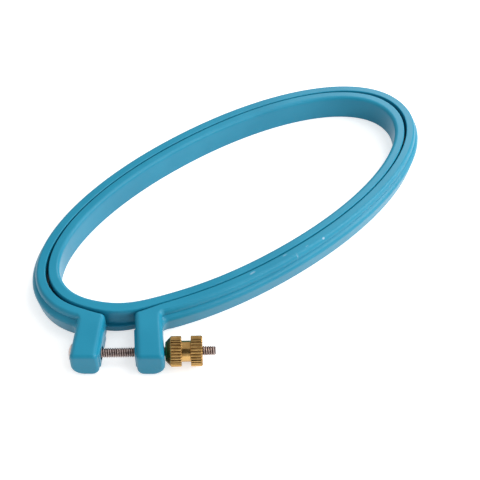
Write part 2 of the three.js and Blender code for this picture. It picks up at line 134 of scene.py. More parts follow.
def cutAway(piece, cutters, sharpAngle=smoothAngle):
    # each cutter is taken out of the piece by an exact boolean, then removed
    for cutter in cutters:
        cut = piece.modifiers.new("cut", "BOOLEAN")
        cut.operation = "DIFFERENCE"
        cut.solver = "EXACT"
        cut.object = cutter
    bpy.context.view_layer.update()
    depsgraph = bpy.context.evaluated_depsgraph_get()
    whole = bpy.data.meshes.new_from_object(piece.evaluated_get(depsgraph))
    piece.modifiers.clear()
    piece.data = whole
    whole.shade_smooth()
    whole.set_sharp_from_angle(angle=radians(sharpAngle))
    for cutter in cutters:
        bpy.data.objects.remove(cutter)
    return piece


def triangleCount(piece):
    return sum(len(face.vertices) - 2 for face in piece.data.polygons)


class PlanFrame:  # an origin and an X direction in plan; Y is a quarter turn on from X
    def __init__(self, origin, along):
        self.origin = np.asarray(origin)
        self.along = np.asarray(along)
        self.across = np.array([-self.along[1], self.along[0]])

    def inside(self, plan):
        # plan points of the hoop's frame, in this one
        return np.stack([(plan - self.origin) @ self.along, (plan - self.origin) @ self.across], axis=-1)

    def outside(self, points):
        # this frame's points (x, y, z), in the hoop's
        plan = self.origin + points[..., :1] * self.along + points[..., 1:2] * self.across
        return np.concatenate([plan, points[..., 2:]], axis=-1)


# The rings' ovals, taken from the inner ring's box

ringLow, ringHigh = (np.array(corner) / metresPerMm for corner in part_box("inner_ring"))
ringCentre = (ringLow + ringHigh)[:2] / 2
ringSize = {
    "height": ringHigh[2],
    "ovalPower": 2.06,  # 2 is an ellipse, more is squarer
    "slack": np.array([1.2, 0.35]),  # room between the rings at the oval's ends and long sides
    "footClearance": 0.2,  # from the inner ring's foot rim to the outer ring
    "faceSwell": 1.5,  # the rings' meeting faces stand out by this much at the gap
    "holeSwell": 0.8,
    "swellSpan": 0.2,  # radians of turn
    "gapFacing": 31.7,  # degrees from -Y to the ring's outward direction at the gap
    "clampAngle": 37.2,  # degrees from -Y to the direction that the lugs point in
}
splitHalf = (ringHigh - ringLow)[:2] / 2 + ringSize["footClearance"]
innerHalf = splitHalf - ringSize["slack"]


def ovalPoint(half, turn, offset=0.0):
    # |x/a|^n + |y/b|^n = 1 at a turn, moved outwards along its normal by the offset
    power = ringSize["ovalPower"]
    x = np.sign(np.cos(turn)) * np.abs(np.cos(turn)) ** (2 / power)
    y = np.sign(np.sin(turn)) * np.abs(np.sin(turn)) ** (2 / power)
    normal = np.stack([
        np.sign(x) * np.abs(x) ** (power - 1) / half[0],
        np.sign(y) * np.abs(y) ** (power - 1) / half[1],
    ], axis=-1)
    normal /= np.linalg.norm(normal, axis=-1, keepdims=True)
    return np.stack([half[0] * x, half[1] * y], axis=-1) + normal * np.asarray(offset)[..., None]


def turnFacing(half, direction):
    # the turn at which the oval's outward normal points along a direction
    share = 1 / (ringSize["ovalPower"] - 1)
    x = np.sign(direction[0]) * abs(half[0] * direction[0]) ** share
    y = np.sign(direction[1]) * abs(half[1] * direction[1]) ** share
    c = np.sign(x) * abs(x) ** (ringSize["ovalPower"] / 2)
    s = np.sign(y) * abs(y) ** (ringSize["ovalPower"] / 2)
    return np.arctan2(s, c) % fullTurn


gapFacing = radians(ringSize["gapFacing"])
gapTurn = turnFacing(splitHalf, (-sin(gapFacing), -cos(gapFacing)))


def ringPath(half, turns, offset=0.0, swell=0.0):
    # an oval edge in plan; near the gap it stands out by swell * exp(-(away / span)^2)
    away = (turns - gapTurn + pi) % fullTurn - pi
    bulge = swell * np.exp(-(away / ringSize["swellSpan"]) ** 2)
    return ringCentre + ovalPoint(half, turns, offset + bulge)


# The clamp's frame, and the screw's, which is turned a little in the lugs' holes

nutJoint = next(joint for joint in frame["joints"] if joint["name"] == "nut_turn")
nutPlace = np.array(nutJoint["pos_m"]) / metresPerMm
alongScrew = np.array(nutJoint["axis"][:2])
clampAngle = radians(ringSize["clampAngle"])
gapOrigin = ringPath(splitHalf, np.array([gapTurn]), swell=ringSize["faceSwell"])[0]
clampFrame = PlanFrame(gapOrigin, (cos(clampAngle), -sin(clampAngle)))
screwSlope = clampFrame.along @ alongScrew
screwOrigin = nutPlace[:2] - alongScrew * clampFrame.inside(nutPlace[:2])[0] / screwSlope
screwFrame = PlanFrame(screwOrigin, alongScrew)
screwReach = -clampFrame.inside(screwOrigin)[1]
screwTilt = np.arccos(screwSlope)
screwHeight = nutPlace[2]


def reachOfNode(node):
    # how far a CAD node reaches along the screw, low and high
    corners = np.array([vertex.co[:2] for vertex in frame["nodes"][node].data.vertices]) / metresPerMm
    along = screwFrame.inside(corners)[:, 0]
    return along.min(), along.max()


print("frame read:", len(frame["nodes"]), "CAD nodes, inner oval", np.round(2 * innerHalf, 1), "mm")


# Sections: a closed outline seen across a ring, as rows of (which edges it is measured from,
# how far it is pushed in from each of them, its height)

roundPoints = 9  # points on a section's round, and on most of its straight stretches


def sectionPart(edgeFrom, edgeTo, share, inset, height, insetTo=None):
    # points from one edge, moved in by its inset, to another edge, moved in by its own
    weights = np.zeros((len(share), 4))
    weights[:, edgeFrom] += 1 - share
    weights[:, edgeTo] += share
    pushes = np.zeros((len(share), 4))
    pushes[:, edgeFrom] += (1 - share) * inset
    pushes[:, edgeTo] += share * (inset if insetTo is None else insetTo)
    return weights, pushes, np.broadcast_to(height, share.shape)


def joinParts(parts):
    return [np.concatenate(column) for column in zip(*parts)]


def sweepSection(edgePaths, weights, pushes, height):
    # point(u, v) = sum over edges of weight(v) * edge(u) + push(u, v) * inwards(u), at height(u, v)
    count = len(edgePaths)
    paths, inwards = (np.array(part) for part in zip(*edgePaths))
    pushes = np.broadcast_to(pushes, (paths.shape[1], len(weights), 4))[..., :count]
    plan = np.einsum("vk,kuc->uvc", weights[:, :count], paths) + np.einsum("uvk,kuc->uvc", pushes, inwards)
    return np.concatenate([plan, np.broadcast_to(height, plan.shape[:2])[..., None]], axis=-1)


def unitNormals(path, side, closed=False):
    # the path's tangent by central differences, turned a quarter to the side (1 left, -1 right)
    if closed:
        tangent = np.roll(path, -1, axis=0) - np.roll(path, 1, axis=0)
    else:
        tangent = np.gradient(path, axis=0)
    tangent /= np.linalg.norm(tangent, axis=-1, keepdims=True)
    return side * np.stack([-tangent[:, 1], tangent[:, 0]], axis=-1)


# Inner ring

innerRing = {
    "walls": np.array([4.2, 3.45]),  # at the oval's ends and long sides
    "holeDraft": np.array([0.4, 0.1]),  # the hole is this much wider at the foot, in the same places
    "holeTopRound": 1.3,
    "rimTopWidth": 0.4,  # the upper edge at the outer face is a taller round
    "rimTopDrop": 1.4,
    "footRound": 0.3,
    "rimRound": 0.2,  # upper edge of the foot rim
    "channelDepth": 0.7,
    "channelLow": 2.8,
    "channelHigh": 8.3,
    "topRimHeight": 9.0,
    "shoulderFill": 0.25,  # the outer face stands out by this much half way between ends and sides
    "footPoints": 8,
    "steps": 600,
}


def innerRingSection(size, height):
    # edges: 0 hole, 1 outer face, 2 foot rim, 3 hole at the foot. The section goes along the foot to
    # the rim, over it to the channel, up and out to the top rim, over the top and down the hole's wall
    t = spread(0, 1, roundPoints)
    rest = t[1:]
    turn = t * pi / 2
    foot, rim, top = size["footRound"], size["rimRound"], size["holeTopRound"]
    wide, drop, topRim = size["rimTopWidth"], size["rimTopDrop"], size["topRimHeight"]
    low, high, deep = size["channelLow"], size["channelHigh"], size["channelDepth"]
    holeDrop = rest * (height - top - foot)
    parts = [
        sectionPart(3, 2, spread(0, 1, size["footPoints"], True), foot, 0.0),
        sectionPart(2, 2, t, foot * (1 - np.sin(turn)), foot * (1 - np.cos(turn))),
        sectionPart(2, 2, rest, 0.0, foot + (low - rim - foot) * rest),
        sectionPart(2, 2, rest, rim * (1 - np.cos(turn[1:])), low - rim + rim * np.sin(turn[1:])),
        sectionPart(2, 1, rest, rim, low, deep),
        sectionPart(1, 1, rest, deep, low + (high - low) * rest),
        sectionPart(1, 1, rest, deep * (1 - rest), high + (topRim - high) * rest),
        sectionPart(1, 1, rest, 0.0, topRim + (height - drop - topRim) * rest),
        sectionPart(1, 1, rest, wide * (1 - np.cos(turn[1:])), height - drop + drop * np.sin(turn[1:])),
        sectionPart(1, 0, rest, wide, height, top),
        sectionPart(0, 0, rest, top * (1 - np.sin(turn[1:])), height - top + top * np.cos(turn[1:])),
        sectionPart(0, 3, rest, 0.0, height - top - holeDrop),
        sectionPart(3, 3, t[1:-1], foot * (1 - np.cos(turn[1:-1])), foot * (1 - np.sin(turn[1:-1]))),
    ]
    return joinParts(parts)


def makeInnerRing(size):
    # one section carried round the oval
    turns = spread(0, fullTurn, size["steps"], True)
    hole = innerHalf - size["walls"]
    fill = size["shoulderFill"] * np.sin(2 * turns) ** 2
    paths = (
        (ringPath(hole, turns, swell=ringSize["holeSwell"]), -1),
        (ringPath(innerHalf, turns, fill, ringSize["faceSwell"]), 1),
        (ringPath(splitHalf, turns, -ringSize["footClearance"], ringSize["faceSwell"]), 1),
        (ringPath(hole + size["holeDraft"], turns, swell=ringSize["holeSwell"]), -1),
    )
    edges = [(path, unitNormals(path, side, True)) for path, side in paths]
    grid = sweepSection(edges, *innerRingSection(size, ringSize["height"]))
    return meshFromGrid("innerRing", grid, rowsClosed=True)


innerRingPiece = makeInnerRing(innerRing)
print("inner ring made:", triangleCount(innerRingPiece), "triangles")


# Split outer ring

outerRing = {
    "wall": 5.1,
    "wallDraft": 1.05,  # the wall leans in by this much at its foot
    "bead": 3.7,  # from the inner face to the bead's side
    "flat": 2.4,  # width of the flat top
    "shoulder": 2.1,  # height of the bead's rounded edge
    "beadHeight": 2.7,  # from the top down to the step line
    "ledgeDrop": 2.2,  # from the step line down to where the rounded ledge meets the wall
    "ledgeSlope": 35,  # degrees: where on its round the ledge starts at the step line
    "stepCut": 0.2,  # the step line undercuts the bead by this much
    "edgeRound": 0.3,
    "bridge": 0.36,  # half the far bridge, in radians of turn
    "stretchFrom": 0.3,  # share of the bridge's span along the screw, from its start, at which stretchStart lies
    "turnStep": 0.0125,
}

lug = {
    "gapHalf": 4.95,  # from the gap's middle to the lug's face, at the ring's inner face
    "splay": 4.7,  # degrees that each lug leans outwards
    "widthRoot": 9.55,
    "widthEnd": 9.7,
    "reach": 18.5,  # from the ring's inner face to the lug's end
    "topRound": 1.65,
    "outerFoot": 4.3,  # rounds at the foot, on the outer side and on the gap's
    "innerFoot": 2.4,
    "bulge": 0.25,  # the sides draw in by this much towards the top and the foot
    "endRound": 1.35,
    "padRaise": 0.35,  # the pad on the gap face
    "padStart": 4.8,
    "padEndRim": 1.9,
    "padTop": 9.5,
    "padRound": 2.6,
    "padEdge": 0.3,  # width of the pad's soft border
    "padBelowTop": 0.5,  # the pad keeps this far under the top face
    "padNear": 2.0,  # and lies only where the face is at most this far outside gapHalf
    "cornerTurn": 0.012,  # radians of turn from the outer wall's round back to the corner's first row
    "cornerReach": 0.3,  # and from that round down the lug to the corner's last row
    "levelRows": 14,  # rows over which the lug's sections turn square to its length
    "cornerRows": 160,
    "lugRows": 84,
    "endRows": 10,
    "endShares": (0.96, 0.85, 0.65, 0.45, 0.25, 0.1),  # the end face is drawn in to these in turn
}

# Edges in plan: 0 inner face, 1 outer wall, 2 bead. Each has its distance from the inner face, its
# swell at the gap and the round between the ring's edge and the lug's
outerEdges = (
    {"offset": 0.0, "swell": ringSize["faceSwell"], "round": 1.8},
    {"offset": outerRing["wall"], "swell": 0.0, "round": 3.2},
    {"offset": outerRing["bead"], "swell": 0.0, "round": 1.5},
)
screwHole = {"radius": 2.45, "pocketRadius": 3.65, "pocketDepth": 1.2, "sides": 96}

# How many points the outer section's stretches have, the same on the ring and on the lug
wallPoints = 12
ledgePoints = 15
beadPoints = 9
flatPoints = 9
facePoints = 66  # up the gap face, close enough for the pad's border
firstShare = 0.08  # a stretch's first point lies this far along it, clear of the round before
faceMargin = 0.01  # and the gap face's first and last points keep this share from its ends

# The ledge runs over part of an ellipse: out = sin, up = cos, from the wall's edge to its start angle
ledgeStart = radians(outerRing["ledgeSlope"])
ledgeAngles = spread(pi / 2, ledgeStart, ledgePoints + 1)[1:]
ledgeOut = (np.sin(ledgeAngles) - sin(ledgeStart)) / (1 - sin(ledgeStart))
ledgeShare = np.concatenate([1 - ledgeOut, np.ones(beadPoints)])


def ringOutline(height, size):
    # wall heights and insets, then the ledge from the wall to the bead's side
    step = height - size["beadHeight"]
    wallTop = step - size["ledgeDrop"]
    wallHeights = size["edgeRound"] + (wallTop - size["edgeRound"]) * spread(firstShare, 1, wallPoints)
    wallInset = size["wallDraft"] * (1 - wallHeights / wallTop)
    beadShare = spread(firstShare, 1, beadPoints)
    ledgeUp = size["ledgeDrop"] * np.cos(ledgeAngles) / cos(ledgeStart)
    beadUp = (size["beadHeight"] - size["shoulder"]) * beadShare
    ledgeHeights = np.concatenate([wallTop + ledgeUp, step + beadUp])
    ledgeInset = size["stepCut"] * np.concatenate([np.ones(ledgePoints), 1 - ease(beadShare * 2)])
    return wallHeights, wallInset, ledgeHeights, ledgeInset


def lugOutline(height):
    # the same points where the lug's outer side is plain
    wallTop = height / 2
    wallHeights = lug["outerFoot"] + (wallTop - lug["outerFoot"]) * spread(firstShare, 1, wallPoints)
    upPoints = ledgePoints + beadPoints
    ledgeHeights = wallTop + (height - lug["topRound"] - wallTop) * spread(0, 1, upPoints + 1)[1:]
    return wallHeights, np.zeros(wallPoints), ledgeHeights, np.zeros(upPoints)


def outerSection(height, size, onLug):
    # the same points on the ring and on the lug, so that one can turn into the other
    t = spread(0, 1, roundPoints)
    turn = t * pi / 2
    if onLug:
        outFoot, inFoot, inTop = lug["outerFoot"], lug["innerFoot"], lug["topRound"]
        crown, rise, draft = lug["topRound"], lug["topRound"], 0
        wallHeights, wallInset, ledgeHeights, ledgeInset = lugOutline(height)
    else:
        outFoot = inFoot = inTop = size["edgeRound"]
        crown, rise, draft = size["bead"] - size["flat"], size["shoulder"], size["wallDraft"]
        wallHeights, wallInset, ledgeHeights, ledgeInset = ringOutline(height, size)
    footShare = spread(0, 1, roundPoints, True)
    flatShare = spread(firstShare, 1 - firstShare, flatPoints)
    faceShare = spread(faceMargin, 1 - faceMargin, facePoints)
    parts = [
        sectionPart(0, 1, footShare, inFoot, 0.0, outFoot + draft),
        sectionPart(1, 1, t, outFoot * (1 - np.sin(turn)) + draft, outFoot * (1 - np.cos(turn))),
        sectionPart(1, 1, spread(0, 1, wallPoints), wallInset, wallHeights),
        sectionPart(1, 2, ledgeShare, 0.0, ledgeHeights, ledgeInset),
        sectionPart(2, 2, t[1:], crown * (1 - np.cos(turn[1:])), height - rise + rise * np.sin(turn[1:])),
        sectionPart(2, 0, flatShare, crown, height, inTop),
        sectionPart(0, 0, t, inTop * (1 - np.sin(turn)), height - inTop + inTop * np.cos(turn)),
        sectionPart(0, 0, faceShare, 0.0, height - inTop - (height - inTop - inFoot) * faceShare),
        sectionPart(0, 0, t[:-1], inFoot * (1 - np.cos(turn[:-1])), inFoot * (1 - np.sin(turn[:-1]))),
    ]
    weights, pushes, heights = joinParts(parts)
    if onLug:
        pushes = pushes + weights * lug["bulge"] * ((heights - height / 2) / (height / 2))[:, None] ** 2
    return weights, pushes, heights


def lugLine(edge, reach):
    # the lug's gap face or outer side in plan, at a reach from the ring's inner face
    x = lug["gapHalf"] + tan(radians(lug["splay"])) * reach
    if edge != 0:
        x = x + lug["widthRoot"] + (lug["widthEnd"] - lug["widthRoot"]) * reach / lug["reach"]
    return np.stack([x, -reach], axis=-1)


def mirroredEdge(edge, turns, side):
    # a ring edge in the clamp's frame, with the left side turned over to lie like the right one
    look = outerEdges[edge]
    path = ringPath(splitHalf, turns, look["offset"], look["swell"])
    return clampFrame.inside(path) * np.array([side, 1])


filletTurns = spread(0.02, 0.6, 4000)  # from the gap: the turns tried for a fillet's end on the ring
cornerPoints = {"ring": 200, "arc": 60, "lug": 40}  # before they are spaced out evenly


def filletOf(edge, side):
    # a circle that touches the ring's edge and the lug's line: its middle is where the ring's edge
    # moved out by the radius meets the lug's line moved out by the radius
    radius = outerEdges[edge]["round"]
    start, end = lugLine(edge, 0.0), lugLine(edge, lug["reach"])
    along = (end - start) / np.linalg.norm(end - start)
    outwards = np.array([-along[1], along[0]])
    turns = gapTurn + side * filletTurns
    path = mirroredEdge(edge, turns, side)
    middles = path + unitNormals(path, -1) * radius
    away = (middles - start) @ outwards - radius
    found = np.argmax(away > 0)
    return turns[found], path[found], middles[found], middles[found] - outwards * radius


def cornerPath(edge, side, startTurn, endReach, count):
    # along the ring's edge, round the fillet and down the lug's line, at even distances
    turn, onRing, middle, onLug = filletOf(edge, side)
    fromMiddle = np.array([onRing, onLug]) - middle
    angleFrom, angleTo = np.arctan2(fromMiddle[:, 1], fromMiddle[:, 0])
    sweepAngle = (angleTo - angleFrom + pi) % fullTurn - pi
    angles = angleFrom + sweepAngle * spread(0, 1, cornerPoints["arc"])
    arc = middle + outerEdges[edge]["round"] * np.stack([np.cos(angles), np.sin(angles)], axis=-1)
    ringPart = mirroredEdge(edge, spread(startTurn, turn, cornerPoints["ring"])[:-1], side)
    lugPart = lugLine(edge, spread(-onLug[1], endReach, cornerPoints["lug"])[1:])
    path = np.vstack([ringPart, arc, lugPart])
    travelled = np.concatenate([[0], np.cumsum(np.linalg.norm(np.diff(path, axis=0), axis=1))])
    even = spread(0, travelled[-1], count)
    return np.stack([np.interp(even, travelled, path[:, k]) for k in range(2)], axis=-1)


def ringTurns(start, end, step, closeShare=1 / 40):
    # even turns, with one more close to each end so that neighbouring pieces shade alike
    turns = spread(start, end, int(abs(end - start) / step))
    close = step * closeShare * np.sign(end - start)
    return np.concatenate([turns[:1], turns[:1] + close, turns[1:-1], turns[-1:] - close, turns[-1:]])


def padMask(reach, height):
    # 1 inside the pad's outline, a rectangle with one round corner, 0 outside, eased over its border
    across = lug["padStart"] + lug["padRound"] - reach
    up = height - (lug["padTop"] - lug["padRound"])
    corner = np.hypot(np.maximum(across, 0), np.maximum(up, 0)) + np.minimum(np.maximum(across, up), 0)
    outside = np.maximum(corner - lug["padRound"], reach - (lug["reach"] - lug["padEndRim"]))
    outside = np.maximum(outside, lug["innerFoot"] - height)
    return 1 - ease(outside / lug["padEdge"] + 0.5)


def lugEndRows(lastRow):
    # the end is rounded over and then closed: the last outline moved inwards by r(1 - cos) while
    # it goes out by r sin, then drawn in towards its middle
    outline = lastRow[:, [0, 2]]
    tangent = np.roll(outline, -1, axis=0) - np.roll(outline, 1, axis=0)
    tangent /= np.linalg.norm(tangent, axis=1, keepdims=True)
    inwards = np.stack([-tangent[:, 1], tangent[:, 0]], axis=-1)
    if np.einsum("ij,ij->", inwards, outline.mean(axis=0) - outline) < 0:
        inwards = -inwards
    rows = []
    for angle in spread(0, pi / 2, lug["endRows"] + 1)[1:]:
        moved = outline + inwards * lug["endRound"] * (1 - cos(angle))
        depth = lastRow[:, 1] - lug["endRound"] * sin(angle)
        rows.append(np.stack([moved[:, 0], depth, moved[:, 1]], axis=-1))
    face = rows[-1]
    middle = face.mean(axis=0)
    rows += [middle + (face - middle) * share for share in lug["endShares"]]
    return np.array(rows)


def makeArm(side, size, name):
    # one arm: along the oval from the far bridge, round the corner at the gap and down the lug
    height = ringSize["height"]
    wallTurn, _, _, wallOnLug = filletOf(1, side)
    cornerTurn = wallTurn + side * lug["cornerTurn"]
    cornerReach = lug["cornerReach"] - wallOnLug[1]
    turns = ringTurns(gapTurn + side * (pi - size["bridge"]), cornerTurn, size["turnStep"])
    reaches = spread(cornerReach, lug["reach"] - lug["endRound"], lug["lugRows"])[1:]
    edges = []
    for edge in range(len(outerEdges)):
        onRing = mirroredEdge(edge, turns, side)
        corner = cornerPath(edge, side, cornerTurn, cornerReach, lug["cornerRows"])
        path = np.vstack([onRing, corner[1:], lugLine(edge, reaches)])
        edges.append((path, unitNormals(path, 1 if edge == 0 else -1)))
    morph = np.concatenate([
        np.zeros(len(turns)),
        ease(spread(0, 1, lug["cornerRows"])[1:]),
        np.ones(len(reaches)),
    ])
    weights, ringPushes, ringHeights = outerSection(height, size, False)
    weights, lugPushes, lugHeights = outerSection(height, size, True)
    pushes = ringPushes + (lugPushes - ringPushes) * morph[:, None, None]
    heights = ringHeights + (lugHeights - ringHeights) * morph[:, None]
    gapFace = edges[0][0]
    onFace = (weights[:, 0] == 1)[None, :] & (heights < height - lug["padBelowTop"])
    nearGap = gapFace[:, :1] < lug["gapHalf"] + lug["padNear"]
    pad = padMask(-gapFace[:, 1:], heights) * nearGap * onFace
    pushes[..., 0] = pushes[..., 0] * (1 - pad) - lug["padRaise"] * pad
    grid = sweepSection(edges, weights, pushes, heights)
    level = ease(np.arange(1, len(reaches) + 1) / lug["levelRows"])[:, None]
    lugGrid = grid[-len(reaches):]
    lugGrid[..., 1] += (-reaches[:, None] - lugGrid[..., 1]) * level
    grid = np.concatenate([grid, lugEndRows(grid[-1])]) * np.array([side, 1, 1])
    return meshFromGrid(name, clampFrame.outside(grid), firstEnd="flat", lastEnd="fan")


def screwCutter(start, end, radius):
    # a round bar on the screw's line
    angles = spread(0, fullTurn, screwHole["sides"], True)
    y, z = radius * np.cos(angles), radius * np.sin(angles) + screwHeight
    rows = [np.column_stack([np.full_like(y, x), y, z]) for x in (start, end)]
    return meshFromGrid("screwCutter", screwFrame.outside(np.array(rows)), firstEnd="flat", lastEnd="flat")


def sideAlongScrew(side):
    # how far along the screw a lug's outer side lies, from the middle of the gap
    lean = tan(radians(lug["splay"])) + (lug["widthEnd"] - lug["widthRoot"]) / lug["reach"]
    across = lug["gapHalf"] + lug["widthRoot"] + lean * screwReach
    return across / (cos(screwTilt) + side * lean * sin(screwTilt))


leftArm = makeArm(-1, outerRing, "outerRingLeft")
rightArm = makeArm(1, outerRing, "outerRingRight")
leftSide, rightSide = sideAlongScrew(-1), sideAlongScrew(1)
beyond = 4  # the cutters reach this far past the lugs' outer sides
inGap = lug["gapHalf"] - 1  # and to this far from the gap's middle
cutAway(rightArm, [screwCutter(inGap, rightSide + beyond, screwHole["radius"])])
cutAway(leftArm, [
    screwCutter(-leftSide - beyond, -inGap, screwHole["radius"]),
    screwCutter(-leftSide - beyond, screwHole["pocketDepth"] - leftSide, screwHole["pocketRadius"]),
])


def makeBridge(size):
    # the same section over the stretch opposite the clamp, between the two arms
    turns = ringTurns(gapTurn - pi + size["bridge"], gapTurn - pi - size["bridge"], size["turnStep"])
    edges = []
    for edge, look in enumerate(outerEdges):
        path = ringPath(splitHalf, turns, look["offset"], look["swell"])
        edges.append((path, unitNormals(path, 1 if edge == 0 else -1)))
    grid = sweepSection(edges, *outerSection(ringSize["height"], size, False))
    return meshFromGrid("outerRingFar", grid, firstEnd="flat", lastEnd="flat"), grid


bridge, bridgeGrid = makeBridge(outerRing)
print("outer ring made:", *(triangleCount(piece) for piece in (leftArm, rightArm, bridge)), "triangles")


# Clamp screw

screwLow, screwHigh = reachOfNode("clamp_screw")
nutLow, nutHigh = reachOfNode("thumb_nut")

clampScrew = {
    "radius": 1.75,
    "pitch": 0.794,
    "threadDepth": 0.42,
    "threadFlat": 0.12,  # share of the pitch that is flat at crest and root
    "tipChamfer": 0.45,
    "headRadius": 3.3,
    "headHeight": 2.3,
    "headCrown": 1.4,
    "headEdge": 0.2,
    "headPole": 0.02,  # the crown's rows inside this radius are left to the end's fan
    "underside": 2.64,  # radius of a row on the head's flat underside
    "neckRoom": 0.15,  # the underside ends this far outside the thread
    "sink": 0.05,  # the shank's rows are spaced from this far inside the head, without the first
    "slotWidth": 1.0,
    "slotDepth": 0.95,
    "sides": 48,
    "stepsPerPitch": 14,
    "crownPoints": 20,
    "sharpAngle": 62,  # degrees, so that the thread's flanks shade smoothly
}


def turnedGrid(along, radius, sides):
    # rows on the screw's line: (x, r cos a, r sin a), where r may change with a
    angles = spread(0, fullTurn, sides, True)
    radius = np.broadcast_to(radius, (len(along), sides))
    x = np.broadcast_to(along[:, None], radius.shape)
    grid = np.stack([x, radius * np.cos(angles), radius * np.sin(angles) + screwHeight], axis=-1)
    return screwFrame.outside(grid)


def makeScrew(size):
    # thread: r = R - depth * valley, where valley is a triangle wave of (x / pitch - turn) held flat
    # at crest and root; head: a crowned disc, r = R cos, x = -crown sin
    seat = screwLow + size["headHeight"]
    steps = int((screwHigh - seat) / size["pitch"] * size["stepsPerPitch"])
    shank = spread(seat - size["sink"], screwHigh, steps)
    angles = spread(0, fullTurn, size["sides"], True)
    phase = shank[:, None] / size["pitch"] - angles[None, :] / fullTurn
    wave = np.abs(2 * (phase % 1) - 1)
    valley = np.clip((wave - size["threadFlat"]) / (1 - 2 * size["threadFlat"]), 0, 1)
    toTip = np.clip((screwHigh - shank) / size["tipChamfer"], 0, 1)[:, None]
    chamfered = size["radius"] - size["tipChamfer"] * (1 - toTip)
    radius = np.minimum(size["radius"] - size["threadDepth"] * valley, chamfered)
    crown = spread(0, pi / 2, size["crownPoints"])
    edge = size["headEdge"]
    edgeAngles = crown[4::4]
    headSide = spread(screwLow + size["headCrown"], seat - edge, 6)[1:]
    headX = np.concatenate([
        screwLow + size["headCrown"] * (1 - np.sin(crown[::-1])),
        headSide,
        seat - edge * (1 - np.sin(edgeAngles)),
        [seat, seat],
    ])
    headRadius = np.concatenate([
        size["headRadius"] * np.cos(crown[::-1]),
        np.full_like(headSide, size["headRadius"]),
        size["headRadius"] - edge * (1 - np.cos(edgeAngles)),
        [size["underside"], size["radius"] + size["neckRoom"]],
    ])
    keep = headRadius > size["headPole"]
    along = np.concatenate([headX[keep], shank[1:]])
    headRows = np.broadcast_to(headRadius[keep][:, None], (keep.sum(), size["sides"]))
    grid = turnedGrid(along, np.concatenate([headRows, radius[1:]]), size["sides"])
    screw = meshFromGrid("clampScrew", grid, firstEnd="fan", lastEnd="fan", sharpAngle=size["sharpAngle"])
    half = size["slotWidth"] / 2
    wide = size["headRadius"] + 1
    slot = np.array([
        [[x, y, z + screwHeight] for y, z in ((-wide, -half), (wide, -half), (wide, half), (-wide, half))]
        for x in (screwLow - 1, screwLow + size["slotDepth"])
    ])
    cutter = meshFromGrid("slotCutter", screwFrame.outside(slot), firstEnd="flat", lastEnd="flat")
    return cutAway(screw, [cutter], sharpAngle=size["sharpAngle"])


screwPiece = makeScrew(clampScrew)
print("clamp screw made:", triangleCount(screwPiece), "triangles")


# Thumb nut

thumbNut = {
    "coneRadius": 3.4,
    "coneLength": 1.85,
    "knurlRadius": 5.25,
    "knurlDepth": 0.38,
    "knurlTeeth": 30,
    "knurlLength": 3.65,
    "neckRadius": 3.65,
    "neckLength": 3.2,
    "endChamfer": 0.35,
    "edgeRound": 0.14,
    "bore": 1.92,
    "boreChamfer": (0.2, 0.25),  # at the cone and at the far end
    "coneLip": 0.15,  # the cone ends this far inside the collar's edge
    "lipKnurl": 0.4,  # share of the knurl's depth at the cone's end
    "sideKnurl": 0.6,  # and on the collars' sides, at the neck
    "sides": 480,
    "sharpAngle": 32,  # degrees
}


def makeNut(size):
    # an outline turned about the screw's line, with r = outline - depth * knurl * (1 - |cos(teeth a / 2)|);
    # each corner holds x, r, how many points lead up to it and its share of the knurl
    neckFrom = size["coneLength"] + size["knurlLength"]
    neckTo = neckFrom + size["neckLength"]
    length = nutHigh - nutLow
    big, neck, edge, bore = size["knurlRadius"], size["neckRadius"], size["edgeRound"], size["bore"]
    coneRadius, coneLength, chamfer = size["coneRadius"], size["coneLength"], size["endChamfer"]
    boreFirst, boreLast = size["boreChamfer"]
    lip, side = size["lipKnurl"], size["sideKnurl"]
    corners = [
        (0.0, bore + boreFirst, 1, 0), (0.0, coneRadius - edge, 8, 0), (edge, coneRadius, 3, 0),
        (coneLength, big - size["coneLip"], 12, lip), (coneLength + edge, big, 3, 1),
        (neckFrom - edge, big, 16, 1), (neckFrom, big - edge, 4, 1), (neckFrom, neck + edge, 8, side),
        (neckFrom + edge, neck, 3, 0), (neckTo - edge, neck, 12, 0), (neckTo, neck + edge, 3, 0),
        (neckTo, big - edge, 8, side), (neckTo + edge, big, 4, 1),
        (length - chamfer, big, 16, 1), (length, big - chamfer, 5, 1),
        (length, bore + boreLast, 10, 0), (length - boreLast, bore, 3, 0), (boreFirst, bore, 10, 0),
    ]
    x, r, knurl = [], [], []
    nextCorners = corners[1:] + corners[:1]
    for (fromX, fromR, _, fromKnurl), (toX, toR, count, toKnurl) in zip(corners, nextCorners):
        share = spread(0, 1, count + 1)[1:]
        x.append(fromX + (toX - fromX) * share)
        r.append(fromR + (toR - fromR) * share)
        knurl.append(fromKnurl + (toKnurl - fromKnurl) * share)
    x, r, knurl = (np.concatenate(part) for part in (x, r, knurl))
    angles = spread(0, fullTurn, size["sides"], True)
    valley = 1 - np.abs(np.cos(size["knurlTeeth"] * angles / 2))
    radius = r[:, None] - size["knurlDepth"] * knurl[:, None] * valley[None, :]
    grid = turnedGrid(nutLow + x, radius, size["sides"])
    return meshFromGrid("thumbNut", grid, rowsClosed=True, sharpAngle=size["sharpAngle"])


nutPiece = makeNut(thumbNut)
print("thumb nut made:", triangleCount(nutPiece), "triangles")


# Materials

flatten = 1e6  # a Mapping node of type TEXTURE divides by its scale, so this takes an axis out


